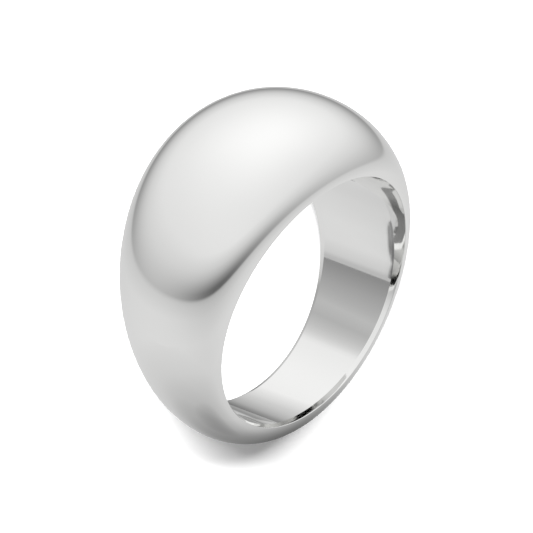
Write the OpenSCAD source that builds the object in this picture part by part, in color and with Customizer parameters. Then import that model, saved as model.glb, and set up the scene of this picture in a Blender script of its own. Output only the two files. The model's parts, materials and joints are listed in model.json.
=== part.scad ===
// A dome ring cast in one piece and polished all over. Every section through the wall is half an
// ellipse standing on the finger hole. It is wide and thick at the dome, runs down both sides of the
// finger, and is narrow and thin at the back of the shank. Both ends of the hole are bevelled.
// The ring lies on its side, so it rests on the rim of the dome and the rim of the shank, and the hole
// leans a little towards the shank. The dome points to -Y, and the origin is under the middle.

/* [Finger hole] */
// Inside diameter in millimetres, US size 7
bore_d = 17.3; // [15.3:0.1:21]

/* [Width along the finger] */
// Width across the middle of the dome
dome_w = 12; // [10:0.1:15]
// Width of the band at either side of the finger
side_w = 7.8; // [6.8:0.1:8.6]
// Width at the back of the shank
shank_w = 5.2; // [4:0.1:6]

/* [Thickness of the wall] */
// Thickness at the top of the dome
dome_t = 4.5; // [3:0.1:6]
// Thickness at either side of the finger
side_t = 2.35; // [1.8:0.05:3]
// Thickness at the back of the shank
shank_t = 2; // [1.5:0.1:2.5]

/* [Bevel at both ends of the hole] */
// How far the bevel opens the hole all round
bevel_d = 0.2; // [0.15:0.05:0.3]
// Height of the bevel under the dome
dome_bevel_h = 3; // [2:0.1:3]
// Height of the bevel at either side of the finger
side_bevel_h = 0.8; // [0.8:0.05:1.2]
// Height of the bevel at the back of the shank
shank_bevel_h = 0.35; // [0.35:0.05:0.6]
// How far the edge between the bevel and the outside is rounded each way
edge_r = 0.05; // [0.05:0.05:0.1]

/* [Smoothness] */
// Sections round the finger
sections = 96; // [48:12:120]
// Steps over the crown of each section
crown_steps = 28; // [16:2:30]
// Steps round each rounded edge
edge_steps = 4; // [3:1:6]

/* [Hidden] */

bore_r = bore_d / 2;
// The walls are made this much too deep, and the hole is then bored through them
bore_stock = 0.3;
// Share of its length by which a bevel runs on into that stock
run_on = 0.15;
// Length of the boring tool, longer than any width above, and its sides in a preview
bore_tool_l = 30;
bore_sides = 180;
// Angles at the back of the shank and all the way round
half_turn = 180;
full_turn = 360;
// Limits and number of halvings in the search for the lean at which the ring rests
lean_max = 30;
lean_halvings = 30;

// A size that runs smoothly round the finger, from the dome at 0 degrees past the side to the shank
function round_finger(dome, side, shank, angle) =
    let (c = cos(angle))
    side + c * (dome - shank) / 2 + c * c * ((dome + shank) / 2 - side);

function half_width(angle) = round_finger(dome_w, side_w, shank_w, angle) / 2;
function thickness(angle) = round_finger(dome_t, side_t, shank_t, angle);
function bevel_h(angle) = round_finger(dome_bevel_h, side_bevel_h, shank_bevel_h, angle);

// A curve that leaves the first point towards the middle one and reaches the last one from it
function rounded(first, middle, last, steps) =
    [for (i = [0 : steps - 1])
        let (t = i / steps)
        (1 - t) * (1 - t) * first + 2 * t * (1 - t) * middle + t * t * last];

// The half ellipse over the wall as [radius, height] points, between the bevels' outer edges
function crown(angle) =
    let (first = asin(bevel_d / thickness(angle)))
    [for (i = [0 : crown_steps])
        let (turn = first + (half_turn - 2 * first) * i / crown_steps)
        [bore_r + thickness(angle) * sin(turn), half_width(angle) * cos(turn)]];

// Upper rim of a section, from the stock in the hole to the foot of the crown. The bevel runs on a
// little past the hole's wall, and all that lies inside the wall is bored away.
function rim(angle) =
    let (
        corner = [bore_r + bevel_d - edge_r, half_width(angle)],
        wall_end = [bore_r, half_width(angle) - bevel_h(angle)],
        past_end = wall_end + run_on * (wall_end - corner),
        edge_end = corner + edge_r * (wall_end - corner) / norm(wall_end - corner)
    )
    concat(
        [[bore_r - bore_stock, past_end[1]], past_end],
        rounded(edge_end, corner, crown(angle)[0], edge_steps)
    );

function below(points) = [for (i = [len(points) - 1 : -1 : 0]) [points[i][0], -points[i][1]]];

// A whole section, from the hole's upper edge over the crown to its lower edge
function section(angle) =
    let (upper = rim(angle))
    concat(upper, crown(angle), below(upper));

// A section set at its angle round the hole, with the dome at -Y
function stood_up(angle) =
    [for (p = section(angle)) [p[0] * sin(angle), -p[0] * cos(angle), p[1]]];

ring_points = [for (i = [0 : sections - 1]) each stood_up(full_turn * i / sections)];
per_section = len(section(0));

// Two triangles between each pair of points on neighbouring sections
function band_faces(i, j) =
    let (
        next_i = (i + 1) % sections,
        next_j = (j + 1) % per_section,
        a = i * per_section + j,
        b = next_i * per_section + j,
        c = next_i * per_section + next_j,
        d = i * per_section + next_j
    )
    [[a, b, c], [a, c, d]];

ring_faces = [for (i = [0 : sections - 1]) for (j = [0 : per_section - 1]) each band_faces(i, j)];

// Leaning by an angle about X, with the top going towards +Y
function leant(p, lean) =
    [p[0], p[1] * cos(lean) + p[2] * sin(lean), p[2] * cos(lean) - p[1] * sin(lean)];

function lowest(points, lean) = min([for (p = points) leant(p, lean)[2]]);

// The lean at which the dome's rim and the shank's rim are equally low
function resting_lean(low = 0, high = lean_max, left = lean_halvings) =
    let (middle = (low + high) / 2)
    left == 0 ? middle
    : lowest(stood_up(0), middle) < lowest(stood_up(half_turn), middle)
        ? resting_lean(middle, high, left - 1)
        : resting_lean(low, middle, left - 1);

lean = resting_lean();
leant_y = [for (p = ring_points) leant(p, lean)[1]];
rest_y = -(min(leant_y) + max(leant_y)) / 2;
rest_z = -lowest(ring_points, lean);

// The polished band and dome, with stock left in the hole
module cast_blank() {
    polyhedron(points = ring_points, faces = ring_faces);
}

module finger_bore() {
    cylinder(r = bore_r, h = bore_tool_l, center = true, $fn = bore_sides);
}

// Sets a ring that is modelled about its hole down on its side
module resting() {
    translate([0, rest_y, rest_z]) rotate([-lean, 0, 0]) children();
}

module ring() {
    color("gainsboro") resting() difference() {
        cast_blank();
        finger_bore();
    }
}

ring();
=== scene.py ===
"""A polished silver dome ring, lying on its side on a pale light table.

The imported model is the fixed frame: it says where the finger hole is and how it leans. One smooth piece
stands for the faceted solid. Lengths are in millimetres in the classes, and in metres in Blender.
"""

import json
import logging
import math
from dataclasses import dataclass
from enum import Enum
from typing import Any

import bpy
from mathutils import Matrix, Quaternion, Vector


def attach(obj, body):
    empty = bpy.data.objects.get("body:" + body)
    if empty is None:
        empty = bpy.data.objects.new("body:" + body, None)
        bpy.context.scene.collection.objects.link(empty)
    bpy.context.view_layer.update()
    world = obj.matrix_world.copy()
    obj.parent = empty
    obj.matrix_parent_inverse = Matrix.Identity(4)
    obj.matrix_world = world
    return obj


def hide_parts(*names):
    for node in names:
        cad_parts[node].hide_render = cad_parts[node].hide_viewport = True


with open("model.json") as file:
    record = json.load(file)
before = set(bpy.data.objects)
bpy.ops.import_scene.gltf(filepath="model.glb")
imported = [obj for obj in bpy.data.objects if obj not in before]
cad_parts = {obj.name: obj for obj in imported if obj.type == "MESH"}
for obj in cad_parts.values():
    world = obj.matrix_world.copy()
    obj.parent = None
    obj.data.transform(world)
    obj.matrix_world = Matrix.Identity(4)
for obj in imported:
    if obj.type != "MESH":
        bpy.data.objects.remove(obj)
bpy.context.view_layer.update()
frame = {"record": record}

MM = 0.001
# A stretch that grades a sheet of painted shade along its second side alone
ONE_WAY = (1000.0, 1.0)
log = logging.getLogger("dome_ring")


class Slot(Enum):
    """Material slots of the record."""

    SILVER = "polished_silver"


def linear_colour(hex_colour: str) -> tuple[float, float, float, float]:
    """Turns an sRGB colour into the linear one that shaders take.

    Args:
        hex_colour: The colour as seen, such as "#f4f3f0".

    Returns:
        Red, green, blue and an alpha of one.
    """
    channels = [int(hex_colour[i : i + 2], 16) / 255 for i in (1, 3, 5)]
    red, green, blue = [c / 12.92 if c <= 0.04045 else ((c + 0.055) / 1.055) ** 2.4 for c in channels]
    return red, green, blue, 1.0


def add_node(
    tree: bpy.types.NodeTree,
    kind: str,
    settings: dict[str, Any] | None = None,
    inputs: dict[str | int, Any] | None = None,
) -> bpy.types.Node:
    """Adds a node, sets it up and links it.

    Args:
        tree: The tree that gets the node.
        kind: Blender's name for the kind of node.
        settings: Properties of the node by name.
        inputs: Sockets by name or number, each with a value or with the output that feeds it.

    Returns:
        The new node.
    """
    node = tree.nodes.new(kind)
    for name, value in (settings or {}).items():
        setattr(node, name, value)
    for key, value in (inputs or {}).items():
        if isinstance(value, bpy.types.NodeSocket):
            tree.links.new(value, node.inputs[key])
        else:
            node.inputs[key].default_value = value
    return node


@dataclass(frozen=True)
class PolishedSilver:
    """Sterling silver, cast and then buffed to a mirror with a soft wheel.

    The metal gives back nearly all light with next to no colour, so what shows is the studio's light
    and dark. The wheel leaves a slow swell that only bends reflections a little, and a haze of hair
    lines round the finger that only shows close up. The haze sets in where the hair lines are dense.
    """

    colour: str = "#f8f8f7"
    handled_colour: str = "#f4f4f3"
    roughness: float = 0.035
    haze_roughness: float = 0.075
    swell_mm: float = 5.0
    swell_depth_mm: float = 0.0012
    hair_line_mm: float = 0.06
    hair_line_length_mm: float = 4.0
    hair_line_depth_mm: float = 0.00004
    haze_from: float = 0.35
    haze_full: float = 0.75

    def material(self) -> bpy.types.Material:
        """Builds the material from the piece's own map, which is in millimetres round the finger.

        Returns:
            The finished material.
        """
        material = bpy.data.materials.new("buffed_sterling_silver")
        material.use_nodes = True
        tree = material.node_tree
        shader = tree.nodes["Principled BSDF"]
        shader.inputs["Metallic"].default_value = 1.0

        place = add_node(tree, "ShaderNodeTexCoord")
        swell = add_node(
            tree,
            "ShaderNodeTexNoise",
            {"noise_dimensions": "3D"},
            {"Vector": place.outputs["Object"], "Scale": 1 / (self.swell_mm * MM), "Detail": 1.0},
        )
        shortening = self.hair_line_mm / self.hair_line_length_mm
        stretched = add_node(
            tree,
            "ShaderNodeMapping",
            {"vector_type": "POINT"},
            {"Vector": place.outputs["UV"], "Scale": (shortening, 1.0, 1.0)},
        )
        hair_lines = add_node(
            tree,
            "ShaderNodeTexNoise",
            {"noise_dimensions": "2D"},
            {"Vector": stretched.outputs["Vector"], "Scale": 1 / self.hair_line_mm, "Detail": 3.0},
        )
        handled = add_node(
            tree,
            "ShaderNodeMix",
            {"data_type": "RGBA"},
            {
                "Factor": swell.outputs["Fac"],
                "A": linear_colour(self.colour),
                "B": linear_colour(self.handled_colour),
            },
        )
        haze = add_node(
            tree,
            "ShaderNodeMapRange",
            None,
            {
                "Value": hair_lines.outputs["Fac"],
                "From Min": self.haze_from,
                "From Max": self.haze_full,
                "To Min": self.roughness,
                "To Max": self.haze_roughness,
            },
        )
        slow_bump = add_node(
            tree,
            "ShaderNodeBump",
            None,
            {"Height": swell.outputs["Fac"], "Strength": 1.0, "Distance": self.swell_depth_mm * MM},
        )
        fine_bump = add_node(
            tree,
            "ShaderNodeBump",
            None,
            {
                "Height": hair_lines.outputs["Fac"],
                "Strength": 1.0,
                "Distance": self.hair_line_depth_mm * MM,
                "Normal": slow_bump.outputs["Normal"],
            },
        )
        tree.links.new(handled.outputs["Result"], shader.inputs["Base Color"])
        tree.links.new(haze.outputs["Result"], shader.inputs["Roughness"])
        tree.links.new(fine_bump.outputs["Normal"], shader.inputs["Normal"])
        return material


@dataclass(frozen=True)
class RoundFinger:
    """A size in millimetres that runs smoothly from the dome past the side to the back of the shank."""

    dome: float
    side: float
    shank: float

    def inputs(self, what: str) -> dict[str, float]:
        """Gives the three sizes in metres, by the names of the node tree's inputs.

        Args:
            what: What the size is, such as "width".

        Returns:
            The sizes at the dome, the side and the shank.
        """
        return {
            f"Dome {what}": self.dome * MM,
            f"Side {what}": self.side * MM,
            f"Shank {what}": self.shank * MM,
        }


@dataclass(frozen=True)
class Rows:
    """Where the lines of a section lie, in rows of the grid that is bent into the ring.

    The first three count from the middle of the hole's wall, and the last two from the first row.
    """

    to_bevel: bpy.types.NodeSocket
    to_edge: bpy.types.NodeSocket
    to_crown: bpy.types.NodeSocket
    middle: bpy.types.NodeSocket
    last: bpy.types.NodeSocket


@dataclass(frozen=True)
class SectionSizes:
    """What a section measures at its angle round the finger.

    The foot's turn is the angle in the half ellipse at which the crown leaves the edge.
    """

    thickness: bpy.types.NodeSocket
    half_width: bpy.types.NodeSocket
    bevel_height: bpy.types.NodeSocket
    foot_turn: bpy.types.NodeSocket


@dataclass
class DomeRing:
    """The ring, whose every section is half an ellipse standing on the finger hole.

    Both ends of the hole are bevelled, and the edge between a bevel and the outside is a little rounded.
    The map for the finish is true to size at its radius, and across a section of its length.
    """

    width: RoundFinger = RoundFinger(12.0, 7.8, 5.2)
    thickness: RoundFinger = RoundFinger(4.5, 2.35, 2.0)
    bevel_height: RoundFinger = RoundFinger(3.0, 0.8, 0.35)
    bevel_depth: float = 0.2
    edge_round: float = 0.05
    sections: int = 384
    crown_steps: int = 132
    wall_steps: int = 16
    bevel_steps: int = 4
    edge_steps: int = 8
    seam_gap: float = 0.001
    map_radius: float = 10.38
    map_length: float = 26.0
    finish: PolishedSilver = PolishedSilver()

    def size_round_finger(self) -> bpy.types.NodeTree:
        """Makes the group that runs a size smoothly from the dome past the side to the shank.

        The size is the parabola in the angle's cosine that passes through the three.

        Returns:
            The group.
        """
        tree = bpy.data.node_groups.new("size_round_finger", "GeometryNodeTree")
        for name in ("Dome", "Side", "Shank", "Cosine"):
            tree.interface.new_socket(name, in_out="INPUT", socket_type="NodeSocketFloat")
        tree.interface.new_socket("Size", in_out="OUTPUT", socket_type="NodeSocketFloat")
        given = add_node(tree, "NodeGroupInput").outputs
        half_difference = add_node(
            tree, "ShaderNodeMath", {"operation": "SUBTRACT"}, {0: given["Dome"], 1: given["Shank"]}
        )
        slope = add_node(
            tree, "ShaderNodeMath", {"operation": "MULTIPLY"}, {0: half_difference.outputs[0], 1: 0.5}
        )
        total = add_node(tree, "ShaderNodeMath", {"operation": "ADD"}, {0: given["Dome"], 1: given["Shank"]})
        bend = add_node(
            tree,
            "ShaderNodeMath",
            {"operation": "MULTIPLY_ADD"},
            {
                0: total.outputs[0],
                1: 0.5,
                2: add_node(
                    tree, "ShaderNodeMath", {"operation": "MULTIPLY"}, {0: given["Side"], 1: -1.0}
                ).outputs[0],
            },
        )
        sloped = add_node(
            tree,
            "ShaderNodeMath",
            {"operation": "MULTIPLY_ADD"},
            {0: bend.outputs[0], 1: given["Cosine"], 2: slope.outputs[0]},
        )
        size = add_node(
            tree,
            "ShaderNodeMath",
            {"operation": "MULTIPLY_ADD"},
            {0: sloped.outputs[0], 1: given["Cosine"], 2: given["Side"]},
        )
        add_node(tree, "NodeGroupOutput", None, {"Size": size.outputs[0]})
        return tree

    def sizes(self, bore: dict[str, Any]) -> dict[str, Any]:
        """Lists what the ring's node tree is given, by the name of its input.

        Args:
            bore: The record's mount for the finger hole.

        Returns:
            Sizes in metres, the map's in millimetres, counts, the hole's place and the finish.
        """
        return {
            "Bore radius": bore["dims"]["r_mm"] * MM,
            "Bevel depth": self.bevel_depth * MM,
            "Edge round": self.edge_round * MM,
            **self.width.inputs("width"),
            **self.thickness.inputs("thickness"),
            **self.bevel_height.inputs("bevel height"),
            "Sections": self.sections,
            "Crown steps": self.crown_steps,
            "Wall steps": self.wall_steps,
            "Bevel steps": self.bevel_steps,
            "Edge steps": self.edge_steps,
            "Seam gap": self.seam_gap * MM,
            "Map radius": self.map_radius,
            "Map length": self.map_length,
            "Hole centre": Vector(bore["pos_m"]),
            "Hole axis": Vector(bore["axis"]),
            "Finish": self.finish.material(),
        }

    def count_rows(self, tree: bpy.types.NodeTree, given: bpy.types.NodeOutputs) -> Rows:
        """Counts the grid's rows to each line of a section.

        Args:
            tree: The ring's tree.
            given: The tree's inputs.

        Returns:
            The counts.
        """
        to_bevel = add_node(
            tree, "ShaderNodeMath", {"operation": "MULTIPLY"}, {0: given["Wall steps"], 1: 0.5}
        ).outputs[0]
        to_edge = add_node(
            tree, "ShaderNodeMath", {"operation": "ADD"}, {0: to_bevel, 1: given["Bevel steps"]}
        ).outputs[0]
        to_crown = add_node(
            tree, "ShaderNodeMath", {"operation": "ADD"}, {0: to_edge, 1: given["Edge steps"]}
        ).outputs[0]
        middle = add_node(
            tree, "ShaderNodeMath", {"operation": "ADD"}, {0: given["Crown steps"], 1: to_crown}
        ).outputs[0]
        last = add_node(
            tree, "ShaderNodeMath", {"operation": "ADD"}, {0: middle, 1: to_crown}
        ).outputs[0]
        return Rows(to_bevel, to_edge, to_crown, middle, last)

    def measure_section(
        self, tree: bpy.types.NodeTree, given: bpy.types.NodeOutputs, angle: bpy.types.NodeSocket
    ) -> SectionSizes:
        """Works out the sizes of the section at an angle.

        Args:
            tree: The ring's tree.
            given: The tree's inputs.
            angle: The angle round the finger, from the middle of the dome.

        Returns:
            The section's sizes.
        """
        cosine = add_node(tree, "ShaderNodeMath", {"operation": "COSINE"}, {0: angle}).outputs[0]
        round_finger = self.size_round_finger()
        width, thickness, bevel_height = (
            add_node(
                tree,
                "GeometryNodeGroup",
                {"node_tree": round_finger},
                {
                    "Dome": given[f"Dome {what}"],
                    "Side": given[f"Side {what}"],
                    "Shank": given[f"Shank {what}"],
                    "Cosine": cosine,
                },
            ).outputs["Size"]
            for what in ("width", "thickness", "bevel height")
        )
        half_width = add_node(
            tree, "ShaderNodeMath", {"operation": "MULTIPLY"}, {0: width, 1: 0.5}
        ).outputs[0]
        foot_share = add_node(
            tree, "ShaderNodeMath", {"operation": "DIVIDE"}, {0: given["Bevel depth"], 1: thickness}
        ).outputs[0]
        foot_turn = add_node(
            tree, "ShaderNodeMath", {"operation": "ARCSINE"}, {0: foot_share}
        ).outputs[0]
        return SectionSizes(thickness, half_width, bevel_height, foot_turn)

    def crown_point(
        self,
        tree: bpy.types.NodeTree,
        given: bpy.types.NodeOutputs,
        section: SectionSizes,
        turn: bpy.types.NodeSocket,
    ) -> bpy.types.NodeSocket:
        """Finds a point on the half ellipse.

        Args:
            tree: The ring's tree.
            given: The tree's inputs.
            section: The section's sizes.
            turn: The angle in the half ellipse, from its upper end.

        Returns:
            The point, with the distance from the hole's axis in X and the height in Z.
        """
        sine = add_node(tree, "ShaderNodeMath", {"operation": "SINE"}, {0: turn}).outputs[0]
        cosine = add_node(tree, "ShaderNodeMath", {"operation": "COSINE"}, {0: turn}).outputs[0]
        size = {"X": section.thickness, "Z": section.half_width}
        return add_node(
            tree,
            "ShaderNodeVectorMath",
            {"operation": "MULTIPLY_ADD"},
            {
                0: add_node(tree, "ShaderNodeCombineXYZ", None, {"X": sine, "Z": cosine}).outputs[0],
                1: add_node(tree, "ShaderNodeCombineXYZ", None, size).outputs[0],
                2: add_node(tree, "ShaderNodeCombineXYZ", None, {"X": given["Bore radius"]}).outputs[0],
            },
        ).outputs[0]

    def hole_point(
        self,
        tree: bpy.types.NodeTree,
        given: bpy.types.NodeOutputs,
        section: SectionSizes,
        rows: Rows,
        from_middle: bpy.types.NodeSocket,
        reach: bpy.types.NodeSocket,
    ) -> bpy.types.NodeSocket:
        """Finds a point on the hole's wall, its bevels and their rounded edges.

        The point is found in the upper half, and its height turned over in the lower one.

        Args:
            tree: The ring's tree.
            given: The tree's inputs.
            section: The section's sizes.
            rows: Where the section's lines lie.
            from_middle: The point's row, counted from the middle of the hole's wall.
            reach: The same without its sign.

        Returns:
            The point, with the distance from the hole's axis in X and the height in Z.
        """
        lower_bevel = add_node(
            tree, "ShaderNodeMath", {"operation": "MULTIPLY"}, {0: rows.to_bevel, 1: -1.0}
        ).outputs[0]
        climb, up_bevel, round_edge = (
            add_node(
                tree,
                "ShaderNodeMapRange",
                None,
                {"Value": row, "From Min": first, "From Max": last, "To Min": lowest},
            ).outputs["Result"]
            for row, first, last, lowest in (
                (from_middle, lower_bevel, rows.to_bevel, -1.0),
                (reach, rows.to_bevel, rows.to_edge, 0.0),
                (reach, rows.to_edge, rows.to_crown, 0.0),
            )
        )

        opened = add_node(
            tree,
            "ShaderNodeMath",
            {"operation": "ADD"},
            {0: given["Bore radius"], 1: given["Bevel depth"]},
        ).outputs[0]
        corner_radius = add_node(
            tree, "ShaderNodeMath", {"operation": "SUBTRACT"}, {0: opened, 1: given["Edge round"]}
        ).outputs[0]
        corner = add_node(
            tree, "ShaderNodeCombineXYZ", None, {"X": corner_radius, "Z": section.half_width}
        ).outputs[0]
        wall_height = add_node(
            tree,
            "ShaderNodeMath",
            {"operation": "SUBTRACT"},
            {0: section.half_width, 1: section.bevel_height},
        ).outputs[0]
        wall_end = add_node(
            tree, "ShaderNodeCombineXYZ", None, {"X": given["Bore radius"], "Z": wall_height}
        ).outputs[0]
        bevel_length = add_node(
            tree, "ShaderNodeVectorMath", {"operation": "DISTANCE"}, {0: corner, 1: wall_end}
        ).outputs["Value"]
        rounded_share = add_node(
            tree, "ShaderNodeMath", {"operation": "DIVIDE"}, {0: given["Edge round"], 1: bevel_length}
        ).outputs[0]
        bevel_end = add_node(
            tree,
            "ShaderNodeMix",
            {"data_type": "VECTOR"},
            {"Factor": rounded_share, "A": corner, "B": wall_end},
        ).outputs["Result"]
        on_bevel = add_node(
            tree,
            "ShaderNodeMix",
            {"data_type": "VECTOR"},
            {"Factor": up_bevel, "A": wall_end, "B": bevel_end},
        ).outputs["Result"]
        to_corner = add_node(
            tree,
            "ShaderNodeMix",
            {"data_type": "VECTOR"},
            {"Factor": round_edge, "A": on_bevel, "B": corner},
        ).outputs["Result"]
        crown_foot = self.crown_point(tree, given, section, section.foot_turn)
        from_corner = add_node(
            tree,
            "ShaderNodeMix",
            {"data_type": "VECTOR"},
            {"Factor": round_edge, "A": corner, "B": crown_foot},
        ).outputs["Result"]
        upper_point = add_node(
            tree,
            "ShaderNodeMix",
            {"data_type": "VECTOR"},
            {"Factor": round_edge, "A": to_corner, "B": from_corner},
        ).outputs["Result"]
        turned_over = add_node(tree, "ShaderNodeCombineXYZ", None, {"X": 1.0, "Z": climb}).outputs[0]
        return add_node(
            tree, "ShaderNodeVectorMath", {"operation": "MULTIPLY"}, {0: upper_point, 1: turned_over}
        ).outputs[0]

    def lay_down(
        self,
        tree: bpy.types.NodeTree,
        given: bpy.types.NodeOutputs,
        bent: bpy.types.NodeSocket,
        bevel_line: bpy.types.NodeSocket,
    ) -> bpy.types.NodeSocket:
        """Closes the bent grid's seams, lays it down about the finger hole and dresses it.

        Args:
            tree: The ring's tree.
            given: The tree's inputs.
            bent: The bent grid, about the origin.
            bevel_line: Whether a point is on the crisp line between the hole's wall and a bevel.

        Returns:
            The finished ring.
        """
        closed = add_node(
            tree, "GeometryNodeMergeByDistance", None, {"Geometry": bent, "Distance": given["Seam gap"]}
        )
        lean = add_node(
            tree, "FunctionNodeAlignRotationToVector", {"axis": "Z"}, {"Vector": given["Hole axis"]}
        )
        laid = add_node(
            tree,
            "GeometryNodeTransform",
            None,
            {
                "Geometry": closed.outputs["Geometry"],
                "Translation": given["Hole centre"],
                "Rotation": lean.outputs["Rotation"],
            },
        )
        smooth = add_node(
            tree,
            "GeometryNodeSetShadeSmooth",
            None,
            {"Geometry": laid.outputs["Geometry"], "Shade Smooth": True},
        )
        crisp = add_node(
            tree,
            "GeometryNodeSetShadeSmooth",
            {"domain": "EDGE"},
            {"Geometry": smooth.outputs["Geometry"], "Selection": bevel_line, "Shade Smooth": False},
        )
        real = add_node(
            tree, "GeometryNodeRealizeInstances", None, {"Geometry": crisp.outputs["Geometry"]}
        )
        return add_node(
            tree,
            "GeometryNodeSetMaterial",
            None,
            {"Geometry": real.outputs["Geometry"], "Material": given["Finish"]},
        ).outputs["Geometry"]

    def tree(self, sizes: dict[str, Any]) -> bpy.types.NodeTree:
        """Builds the node tree that bends a grid into the ring.

        The grid's long side runs round the finger from the back of the shank. Its short side runs over
        the crown, round the lower rim, up the hole's wall and round the upper rim.

        Args:
            sizes: What the tree will be given, by the name of its input.

        Returns:
            The tree.
        """
        tree = bpy.data.node_groups.new("dome_ring", "GeometryNodeTree")
        socket_types = {
            float: "NodeSocketFloat",
            int: "NodeSocketInt",
            Vector: "NodeSocketVector",
            bpy.types.Material: "NodeSocketMaterial",
        }
        tree.interface.new_socket("Geometry", in_out="OUTPUT", socket_type="NodeSocketGeometry")
        for name, value in sizes.items():
            tree.interface.new_socket(name, in_out="INPUT", socket_type=socket_types[type(value)])
        given = add_node(tree, "NodeGroupInput").outputs

        rows = self.count_rows(tree, given)
        points_round, points_across = (
            add_node(tree, "ShaderNodeMath", {"operation": "ADD"}, {0: steps, 1: 1.0}).outputs[0]
            for steps in (given["Sections"], rows.last)
        )
        grid = add_node(
            tree, "GeometryNodeMeshGrid", None, {"Vertices X": points_round, "Vertices Y": points_across}
        )
        share = add_node(tree, "ShaderNodeSeparateXYZ", None, {"Vector": grid.outputs["UV Map"]}).outputs
        angle = add_node(
            tree,
            "ShaderNodeMapRange",
            None,
            {"Value": share["X"], "To Min": -math.pi, "To Max": math.pi},
        ).outputs["Result"]
        row = add_node(
            tree, "ShaderNodeMath", {"operation": "MULTIPLY"}, {0: share["Y"], 1: rows.last}
        ).outputs[0]
        from_middle = add_node(
            tree, "ShaderNodeMath", {"operation": "SUBTRACT"}, {0: row, 1: rows.middle}
        ).outputs[0]
        reach = add_node(tree, "ShaderNodeMath", {"operation": "ABSOLUTE"}, {0: from_middle}).outputs[0]

        section = self.measure_section(tree, given, angle)
        other_foot = add_node(
            tree, "ShaderNodeMath", {"operation": "SUBTRACT"}, {0: math.pi, 1: section.foot_turn}
        ).outputs[0]
        turn = add_node(
            tree,
            "ShaderNodeMapRange",
            None,
            {
                "Value": row,
                "From Max": given["Crown steps"],
                "To Min": section.foot_turn,
                "To Max": other_foot,
            },
        ).outputs["Result"]
        # Rows are whole numbers, so half a row tells the crown's last from the next
        past_crown = add_node(
            tree, "ShaderNodeMath", {"operation": "ADD"}, {0: given["Crown steps"], 1: 0.5}
        ).outputs[0]
        on_crown = add_node(
            tree,
            "FunctionNodeCompare",
            {"data_type": "FLOAT", "operation": "LESS_THAN"},
            {"A": row, "B": past_crown},
        ).outputs["Result"]
        section_point = add_node(
            tree,
            "GeometryNodeSwitch",
            {"input_type": "VECTOR"},
            {
                "Switch": on_crown,
                "False": self.hole_point(tree, given, section, rows, from_middle, reach),
                "True": self.crown_point(tree, given, section, turn),
            },
        ).outputs[0]
        # The middle of the dome points to -Y
        bearing = add_node(
            tree, "ShaderNodeMath", {"operation": "MULTIPLY_ADD"}, {0: angle, 1: -1.0, 2: -math.pi / 2}
        ).outputs[0]
        ring_point = add_node(
            tree,
            "ShaderNodeVectorRotate",
            {"rotation_type": "Z_AXIS"},
            {"Vector": section_point, "Angle": bearing},
        ).outputs["Vector"]

        around = add_node(
            tree, "ShaderNodeMath", {"operation": "MULTIPLY"}, {0: angle, 1: given["Map radius"]}
        ).outputs[0]
        across = add_node(
            tree, "ShaderNodeMath", {"operation": "MULTIPLY"}, {0: share["Y"], 1: given["Map length"]}
        ).outputs[0]
        place_on_map = add_node(
            tree, "ShaderNodeCombineXYZ", None, {"X": around, "Y": across}
        ).outputs[0]
        mapped = add_node(
            tree,
            "GeometryNodeStoreNamedAttribute",
            {"data_type": "FLOAT2", "domain": "CORNER"},
            {"Geometry": grid.outputs["Mesh"], "Name": "round_the_finger", "Value": place_on_map},
        ).outputs["Geometry"]
        bent = add_node(
            tree, "GeometryNodeSetPosition", None, {"Geometry": mapped, "Position": ring_point}
        ).outputs["Geometry"]
        bevel_line = add_node(
            tree,
            "FunctionNodeCompare",
            {"data_type": "FLOAT", "operation": "EQUAL"},
            {"A": reach, "B": rows.to_bevel, "Epsilon": 0.1},
        ).outputs["Result"]
        finished = self.lay_down(tree, given, bent, bevel_line)
        add_node(tree, "NodeGroupOutput", None, {"Geometry": finished})
        return tree

    def build(self, bore: dict[str, Any]) -> bpy.types.Object:
        """Makes the ring as one plain mesh, in its place, riding on the part.

        Args:
            bore: The record's mount for the finger hole.

        Returns:
            The finished piece.
        """
        sizes = self.sizes(bore)
        tree = self.tree(sizes)
        maker = bpy.data.objects.new("ring_maker", bpy.data.meshes.new("ring_maker"))
        bpy.context.scene.collection.objects.link(maker)
        modifier = maker.modifiers.new("dome_ring", "NODES")
        modifier.node_group = tree
        for item in tree.interface.items_tree:
            if item.in_out == "INPUT":
                modifier[item.identifier] = sizes[item.name]
        made = maker.evaluated_get(bpy.context.evaluated_depsgraph_get())
        mesh = bpy.data.meshes.new_from_object(made)
        maker.modifiers.clear()
        bpy.data.objects.remove(maker)

        piece = bpy.data.objects.new("polished_dome_ring", mesh)
        bpy.context.scene.collection.objects.link(piece)
        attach(piece, "root")
        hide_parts("ring")
        log.info("%s: %d faces", piece.name, len(mesh.polygons))
        return piece


@dataclass(frozen=True)
class Tone:
    """How bright the studio is, seen in a mirror, at one height above the light tent's horizon."""

    height_deg: float
    seen: str

    def position(self) -> float:
        """Gives the tone's place on a ramp over the sine of the height."""
        return (math.sin(math.radians(self.height_deg)) + 1) / 2


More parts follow.
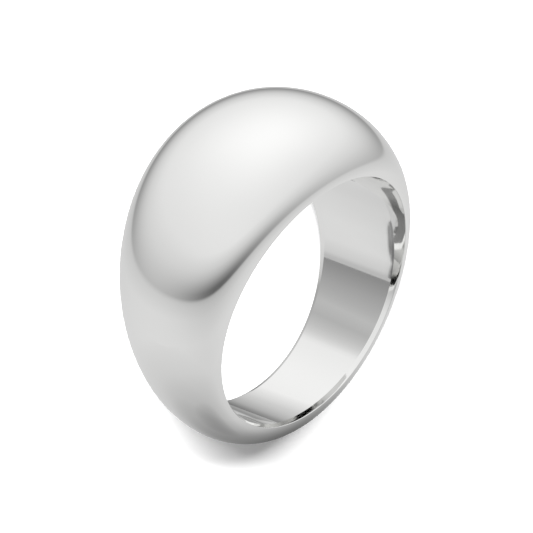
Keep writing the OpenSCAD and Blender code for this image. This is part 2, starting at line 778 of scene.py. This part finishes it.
@dataclass
class LightTent:
    """The white studio that the silver mirrors: a sweep below, a dark gap at the horizon, a tent above.

    The tent's gap is dark in front and behind, where the sweep ends, and nearly closed at the sides.
    A big soft box hangs high behind the ring. Only the silver mirrors all this, and the table gets a
    faint even white instead.
    """

    up: Vector = Vector((-0.049, -0.970, 0.236))
    gap_way: Vector = Vector((0.634, 0.152, 0.758))
    gap_behind: float = 0.6
    soft_box_way: Vector = Vector((-0.431, -0.900, 0.053))
    soft_box_strength: float = 0.17
    soft_box_spread: float = 4.0
    strength: float = 1.06
    fill_strength: float = 0.06
    # Both ramps darken towards straight below: painted shade for the ring's own shadow on the sweep under it
    sides: tuple[Tone, ...] = (
        Tone(-90, "#a6a6a6"),
        Tone(-72, "#c3c3c3"),
        Tone(-52, "#d5d5d5"),
        Tone(-35, "#dbdbdb"),
        Tone(-20, "#dadada"),
        Tone(-10, "#cdcdcd"),
        Tone(-7, "#bababa"),
        Tone(0, "#c5c5c5"),
        Tone(10, "#d4d4d4"),
        Tone(25, "#e2e2e2"),
        Tone(90, "#ececec"),
    )
    ends: tuple[Tone, ...] = (
        Tone(-90, "#a6a6a6"),
        Tone(-72, "#bebebe"),
        Tone(-52, "#cbcbcb"),
        Tone(-35, "#cfcfcf"),
        Tone(-20, "#c6c6c6"),
        Tone(-12, "#bcbcbc"),
        Tone(-9, "#b0b0b0"),
        Tone(-7, "#606060"),
        Tone(-4, "#666666"),
        Tone(0, "#8e8e8e"),
        Tone(5, "#b6b6b6"),
        Tone(10, "#cdcdcd"),
        Tone(20, "#e6e6e6"),
        Tone(90, "#ececec"),
    )

    def ramp(
        self, tree: bpy.types.NodeTree, height: bpy.types.NodeSocket, tones: tuple[Tone, ...]
    ) -> bpy.types.NodeSocket:
        """Adds a ramp of tones by height.

        Args:
            tree: The world's tree.
            height: The sine of the height above the horizon.
            tones: The tones from the bottom to the top.

        Returns:
            The ramp's colour output.
        """
        place = add_node(
            tree, "ShaderNodeMapRange", None, {"Value": height, "From Min": -1.0, "From Max": 1.0}
        ).outputs["Result"]
        ramp = add_node(tree, "ShaderNodeValToRGB", None, {"Fac": place})
        stops = ramp.color_ramp.elements
        for tone in tones[1:-1]:
            stops.new(tone.position())
        for stop, tone in zip(stops, tones):
            stop.position = tone.position()
            stop.color = linear_colour(tone.seen)
        return ramp.outputs["Color"]

    def world(self) -> bpy.types.World:
        """Builds the world: the tent to the silver, and faint even white to the table.

        Returns:
            The world, which is the scene's from now on.
        """
        world = bpy.data.worlds.new("light_tent")
        world.use_nodes = True
        tree = world.node_tree
        tree.nodes.clear()
        way = add_node(tree, "ShaderNodeTexCoord").outputs["Generated"]
        height, along_gap, to_box = (
            add_node(
                tree,
                "ShaderNodeVectorMath",
                {"operation": "DOT_PRODUCT"},
                {0: way, 1: direction.normalized()},
            ).outputs["Value"]
            for direction in (self.up, self.gap_way, self.soft_box_way)
        )
        at_ends = add_node(
            tree, "ShaderNodeMath", {"operation": "MULTIPLY"}, {0: along_gap, 1: along_gap}
        ).outputs[0]
        openness = add_node(
            tree,
            "ShaderNodeMapRange",
            None,
            {"Value": along_gap, "From Min": -1.0, "From Max": 1.0, "To Min": self.gap_behind},
        ).outputs["Result"]
        gap = add_node(
            tree, "ShaderNodeMath", {"operation": "MULTIPLY"}, {0: at_ends, 1: openness}
        ).outputs[0]
        tent = add_node(
            tree,
            "ShaderNodeMix",
            {"data_type": "RGBA"},
            {
                "Factor": gap,
                "A": self.ramp(tree, height, self.sides),
                "B": self.ramp(tree, height, self.ends),
            },
        ).outputs["Result"]
        before_box = add_node(
            tree, "ShaderNodeMath", {"operation": "MAXIMUM"}, {0: to_box, 1: 0.0}
        ).outputs[0]
        box_shape = add_node(
            tree, "ShaderNodeMath", {"operation": "POWER"}, {0: before_box, 1: self.soft_box_spread}
        ).outputs[0]
        box_glow = add_node(
            tree, "ShaderNodeMath", {"operation": "MULTIPLY"}, {0: box_shape, 1: self.soft_box_strength}
        ).outputs[0]
        box_light = add_node(
            tree, "ShaderNodeVectorMath", {"operation": "SCALE"}, {0: (1.0, 1.0, 1.0), "Scale": box_glow}
        ).outputs[0]
        lit = add_node(
            tree, "ShaderNodeVectorMath", {"operation": "ADD"}, {0: tent, 1: box_light}
        ).outputs[0]
        mirrored = add_node(
            tree, "ShaderNodeBackground", None, {"Color": lit, "Strength": self.strength}
        )
        fill = add_node(
            tree, "ShaderNodeBackground", None, {"Color": (1, 1, 1, 1), "Strength": self.fill_strength}
        )
        rays = add_node(tree, "ShaderNodeLightPath")
        mixed = add_node(
            tree,
            "ShaderNodeMixShader",
            None,
            {0: rays.outputs["Is Glossy Ray"], 1: fill.outputs[0], 2: mirrored.outputs[0]},
        )
        add_node(tree, "ShaderNodeOutputWorld", None, {"Surface": mixed.outputs[0]})
        bpy.context.scene.world = world
        return world


@dataclass(frozen=True)
class PaintedShadeStop:
    """The share of the light that a sheet of painted shade lets through at one distance from its middle."""

    distance_mm: float
    share: float


@dataclass
class ShadeCard:
    """A sheet of graded grey that paints shade into what the silver mirrors close by; nothing else sees it.

    Its grades are ellipses about its middle, drawn out by the stretch. A sheet with one face only paints
    shade on what is seen from the side that it faces, and its outline runs counter-clockwise from there.
    """

    name: str
    outline_mm: tuple[tuple[float, float], ...]
    centre_mm: Vector
    facing: Vector
    stops: tuple[PaintedShadeStop, ...]
    middle_mm: tuple[float, float] = (0.0, 0.0)
    stretch: tuple[float, float] = (1.0, 1.0)
    turn_deg: float = 0.0
    one_face: bool = False

    def painted_shade(self) -> bpy.types.Material:
        """Builds the sheet's graded painted shade.

        Returns:
            The material.
        """
        material = bpy.data.materials.new(f"{self.name}_gel")
        material.use_nodes = True
        tree = material.node_tree
        tree.nodes.clear()
        place = add_node(tree, "ShaderNodeTexCoord").outputs["Object"]
        from_middle = add_node(
            tree,
            "ShaderNodeVectorMath",
            {"operation": "SUBTRACT"},
            {0: place, 1: (self.middle_mm[0] * MM, self.middle_mm[1] * MM, 0)},
        ).outputs[0]
        evened = add_node(
            tree,
            "ShaderNodeVectorMath",
            {"operation": "MULTIPLY"},
            {0: from_middle, 1: (1 / self.stretch[0], 1 / self.stretch[1], 0)},
        ).outputs[0]
        away = add_node(tree, "ShaderNodeVectorMath", {"operation": "LENGTH"}, {0: evened}).outputs["Value"]
        reach = self.stops[-1].distance_mm
        along = add_node(
            tree, "ShaderNodeMapRange", None, {"Value": away, "From Max": reach * MM}
        ).outputs["Result"]
        ramp = add_node(tree, "ShaderNodeValToRGB", None, {"Fac": along})
        elements = ramp.color_ramp.elements
        for stop in self.stops[1:-1]:
            elements.new(stop.distance_mm / reach)
        for element, stop in zip(elements, self.stops):
            element.position = stop.distance_mm / reach
            element.color = (stop.share, stop.share, stop.share, 1.0)
        # Painted shade: a grey see-through sheet that darkens what the silver mirrors through it
        painted_shade = add_node(tree, "ShaderNodeBsdfTransparent", None, {"Color": ramp.outputs["Color"]}).outputs[0]
        if self.one_face:
            clear = add_node(tree, "ShaderNodeBsdfTransparent", None, {"Color": (1, 1, 1, 1)}).outputs[0]
            behind = add_node(tree, "ShaderNodeNewGeometry").outputs["Backfacing"]
            painted_shade = add_node(tree, "ShaderNodeMixShader", None, {0: behind, 1: painted_shade, 2: clear}).outputs[0]
        add_node(tree, "ShaderNodeOutputMaterial", None, {"Surface": painted_shade})
        return material

    def build(self) -> bpy.types.Object:
        """Makes the card, which isn't part of the object.

        Returns:
            The card, hung in its place.
        """
        mesh = bpy.data.meshes.new(self.name)
        corners = [(x * MM, y * MM, 0) for x, y in self.outline_mm]
        mesh.from_pydata(corners, [], [range(len(corners))])
        mesh.materials.append(self.painted_shade())
        card = bpy.data.objects.new(self.name, mesh)
        bpy.context.scene.collection.objects.link(card)
        card.location = self.centre_mm * MM
        card.rotation_mode = "QUATERNION"
        turn = Quaternion((0, 0, 1), math.radians(self.turn_deg))
        card.rotation_quaternion = Vector((0, 0, 1)).rotation_difference(self.facing) @ turn
        card.visible_camera = False
        card.visible_diffuse = False
        card.visible_shadow = False
        return card


@dataclass
class LightTable:
    """A pale sheet of opal acrylic under the ring, lit evenly from below.

    A disc of painted light under the hole washes out the ring's shade inside it.
    """

    side_mm: float = 600.0
    colour: str = "#e8e8e8"
    roughness: float = 0.9
    glow: float = 0.24
    painted_hole_light: float = 0.95
    painted_hole_light_mm: float = 9.5
    painted_hole_light_edge_mm: float = 1.0

    def build(self, hole_centre: Vector) -> bpy.types.Object:
        """Makes the table's flat top, which isn't part of the object.

        Args:
            hole_centre: The middle of the finger hole, in metres, under which painted light brightens the
                table.

        Returns:
            The table.
        """
        half = self.side_mm * MM / 2
        mesh = bpy.data.meshes.new("light_table")
        corners = [(-half, -half, 0), (half, -half, 0), (half, half, 0), (-half, half, 0)]
        mesh.from_pydata(corners, [], [(0, 1, 2, 3)])
        material = bpy.data.materials.new("opal_acrylic")
        material.use_nodes = True
        tree = material.node_tree
        shader = tree.nodes["Principled BSDF"]
        shader.inputs["Base Color"].default_value = linear_colour(self.colour)
        shader.inputs["Roughness"].default_value = self.roughness
        shader.inputs["Specular IOR Level"].default_value = 0.0
        shader.inputs["Emission Color"].default_value = (1, 1, 1, 1)
        place = add_node(tree, "ShaderNodeTexCoord").outputs["Object"]
        away = add_node(
            tree,
            "ShaderNodeVectorMath",
            {"operation": "DISTANCE"},
            {0: place, 1: (hole_centre.x, hole_centre.y, 0)},
        ).outputs["Value"]
        # Even glow, plus a disc of painted light under the hole that washes out the ring's shade there
        glow = add_node(
            tree,
            "ShaderNodeMapRange",
            {"interpolation_type": "SMOOTHSTEP"},
            {
                "Value": away,
                "From Min": (self.painted_hole_light_mm - self.painted_hole_light_edge_mm) * MM,
                "From Max": self.painted_hole_light_mm * MM,
                "To Min": self.glow + self.painted_hole_light,
                "To Max": self.glow,
            },
        ).outputs["Result"]
        tree.links.new(glow, shader.inputs["Emission Strength"])
        mesh.materials.append(material)
        table = bpy.data.objects.new("light_table", mesh)
        bpy.context.scene.collection.objects.link(table)
        table.visible_glossy = False
        return table


@dataclass
class KeyLight:
    """A soft lamp on the dome's side, which throws the ring's soft shadow past the shank."""

    name: str
    place_mm: Vector
    side_mm: float
    power: float

    def build(self) -> bpy.types.Object:
        """Hangs the light and turns it to the ring.

        Returns:
            The light, which the silver doesn't mirror.
        """
        data = bpy.data.lights.new(self.name, "AREA")
        data.shape = "SQUARE"
        data.size = self.side_mm * MM
        data.energy = self.power
        light = bpy.data.objects.new(self.name, data)
        bpy.context.scene.collection.objects.link(light)
        light.location = self.place_mm * MM
        light.rotation_mode = "QUATERNION"
        light.rotation_quaternion = (-self.place_mm).to_track_quat("-Z", "Y")
        light.visible_glossy = False
        return light


@dataclass
class ViewCamera:
    """The camera at the photograph's angle to the ring, turned about its own axis as there."""

    azimuth_deg: float = 59.495
    elevation_deg: float = 44.144
    roll_deg: float = 98.8
    distance_mm: float = 207.6
    aim_right_mm: float = -0.285
    aim_up_mm: float = 1.202
    lens_mm: float = 217.35
    nearest_m: float = 0.01
    farthest_m: float = 10.0

    def build(self, hole_centre: Vector) -> bpy.types.Object:
        """Makes the camera and the scene's view of it.

        Args:
            hole_centre: The middle of the finger hole, in metres.

        Returns:
            The camera.
        """
        azimuth, elevation = math.radians(self.azimuth_deg), math.radians(self.elevation_deg)
        back = Vector(
            (
                math.sin(azimuth) * math.cos(elevation),
                -math.cos(azimuth) * math.cos(elevation),
                math.sin(elevation),
            )
        )
        turned = (-back).to_track_quat("-Z", "Y") @ Quaternion((0, 0, 1), math.radians(self.roll_deg))
        aim = turned @ Vector((self.aim_right_mm, self.aim_up_mm, self.distance_mm))
        data = bpy.data.cameras.new("camera")
        data.lens = self.lens_mm
        data.clip_start = self.nearest_m
        data.clip_end = self.farthest_m
        camera = bpy.data.objects.new("camera", data)
        bpy.context.scene.collection.objects.link(camera)
        camera.rotation_mode = "QUATERNION"
        camera.rotation_quaternion = turned
        camera.location = hole_centre + aim * MM
        bpy.context.scene.camera = camera
        return camera


def shade_cards(hole_centre: Vector, sweep_up: Vector) -> list[ShadeCard]:
    """Lists the sheets of painted shade: three stand under the hole, and one just past the shank holds a
    painted shadow.

    Args:
        hole_centre: The middle of the finger hole, in millimetres.
        sweep_up: The way up in the light tent, which is the way from the shank to the dome.

    Returns:
        The cards, not yet built.
    """
    right_of_hole = Vector((4.0, 0.0, -6.0))
    left_of_hole = Vector((-10.0, 0.0, -6.0))
    shank_distance = 10.95
    past_shank = hole_centre - sweep_up * shank_distance
    facing_left = Vector((-1.0, 0.0, 0.0))
    facing_right = Vector((1.0, 0.0, 0.0))
    return [
        # Painted shade in what the silver mirrors through the hole, on its right
        ShadeCard(
            name="painted_shade_right_of_hole",
            outline_mm=((-4.0, 1.6), (-12.0, -0.9), (-12.0, -28.0), (4.5, -28.0), (4.5, 3.12)),
            centre_mm=right_of_hole,
            facing=facing_left,
            stops=(
                PaintedShadeStop(0.0, 0.50),
                PaintedShadeStop(1.5, 0.50),
                PaintedShadeStop(6.0, 0.60),
                PaintedShadeStop(7.5, 0.65),
                PaintedShadeStop(10.5, 0.57),
                PaintedShadeStop(14.0, 0.66),
                PaintedShadeStop(18.0, 0.77),
                PaintedShadeStop(24.0, 0.95),
                PaintedShadeStop(29.0, 1.0),
            ),
            middle_mm=(0.0, 4.0),
            stretch=ONE_WAY,
            one_face=True,
        ),
        # Painted shade in what the silver mirrors through the hole, on its left
        ShadeCard(
            name="painted_shade_left_of_hole",
            outline_mm=((-4.0, -3.0), (6.0, -3.0), (6.0, 7.3), (-4.0, 7.3)),
            centre_mm=left_of_hole,
            facing=facing_right,
            stops=(
                PaintedShadeStop(0.0, 0.50),
                PaintedShadeStop(1.0, 0.50),
                PaintedShadeStop(2.5, 0.65),
                PaintedShadeStop(5.5, 0.75),
                PaintedShadeStop(7.0, 0.85),
                PaintedShadeStop(10.0, 1.0),
            ),
            middle_mm=(0.0, 7.5),
            stretch=ONE_WAY,
            one_face=True,
        ),
        # Painted shade, the darkest of the three, in a narrow strip behind the hole
        ShadeCard(
            name="painted_shade_behind_hole",
            outline_mm=(
                (6.6, 3.4),
                (6.6, 6.5),
                (3.7, 6.4),
                (2.3, 7.1),
                (-0.1, 10.1),
                (-6.3, 17.0),
                (-8.5, 20.0),
                (-16.0, 30.0),
                (-18.6, 30.0),
                (-10.3, 20.0),
                (-7.7, 17.0),
                (-4.6, 13.6),
                (-1.4, 10.1),
                (1.15, 7.1),
                (2.75, 5.3),
                (3.5, 3.4),
            ),
            centre_mm=right_of_hole,
            facing=facing_left,
            stops=(PaintedShadeStop(0.0, 0.27), PaintedShadeStop(7.0, 0.27), PaintedShadeStop(10.0, 0.4), PaintedShadeStop(30.0, 0.4)),
            middle_mm=(6.0, 3.4),
            one_face=True,
        ),
        # Painted shadow: the ring's own shadow where the shank would stand on the sweep, as the lower
        # outside mirrors it
        ShadeCard(
            name="painted_shadow_past_shank",
            outline_mm=((-26.0, -26.0), (26.0, -26.0), (26.0, 26.0), (-26.0, 26.0)),
            centre_mm=past_shank,
            facing=sweep_up,
            stops=(
                PaintedShadeStop(0.0, 0.20),
                PaintedShadeStop(1.0, 0.27),
                PaintedShadeStop(2.4, 0.46),
                PaintedShadeStop(4.0, 0.74),
                PaintedShadeStop(5.5, 0.88),
                PaintedShadeStop(8.0, 0.94),
                PaintedShadeStop(14.0, 1.0),
            ),
            middle_mm=(0.46, 1.82),
            stretch=(2.2, 1.0),
            turn_deg=-20.0,
        ),
    ]


def key_lights() -> list[KeyLight]:
    """Lists the two lights that the shadow takes: a small one high up, and a wide one lower down.

    Returns:
        The lights, not yet built.
    """
    return [
        KeyLight(name="key_light", place_mm=Vector((54.0, -223.0, 333.0)), side_mm=100.0, power=1.9),
        KeyLight(name="low_light", place_mm=Vector((196.0, -263.0, 100.0)), side_mm=182.0, power=5.2),
    ]


def main() -> None:
    """Builds the camera, the ring, the table, the light tent, the lights and the sheets of painted shade."""
    logging.basicConfig(level=logging.INFO, format="%(name)s: %(message)s")
    bore = next(m for m in frame["record"]["mounts"] if m["name"] == "finger_hole")
    bpy.context.scene.view_settings.view_transform = "Standard"
    hole_centre = Vector(bore["pos_m"])
    ViewCamera().build(hole_centre)
    DomeRing().build(bore)
    LightTable().build(hole_centre)
    tent = LightTent()
    tent.world()
    for light in key_lights():
        light.build()
    for card in shade_cards(hole_centre / MM, tent.up.normalized()):
        card.build()


if __name__ == "__main__":
    main()
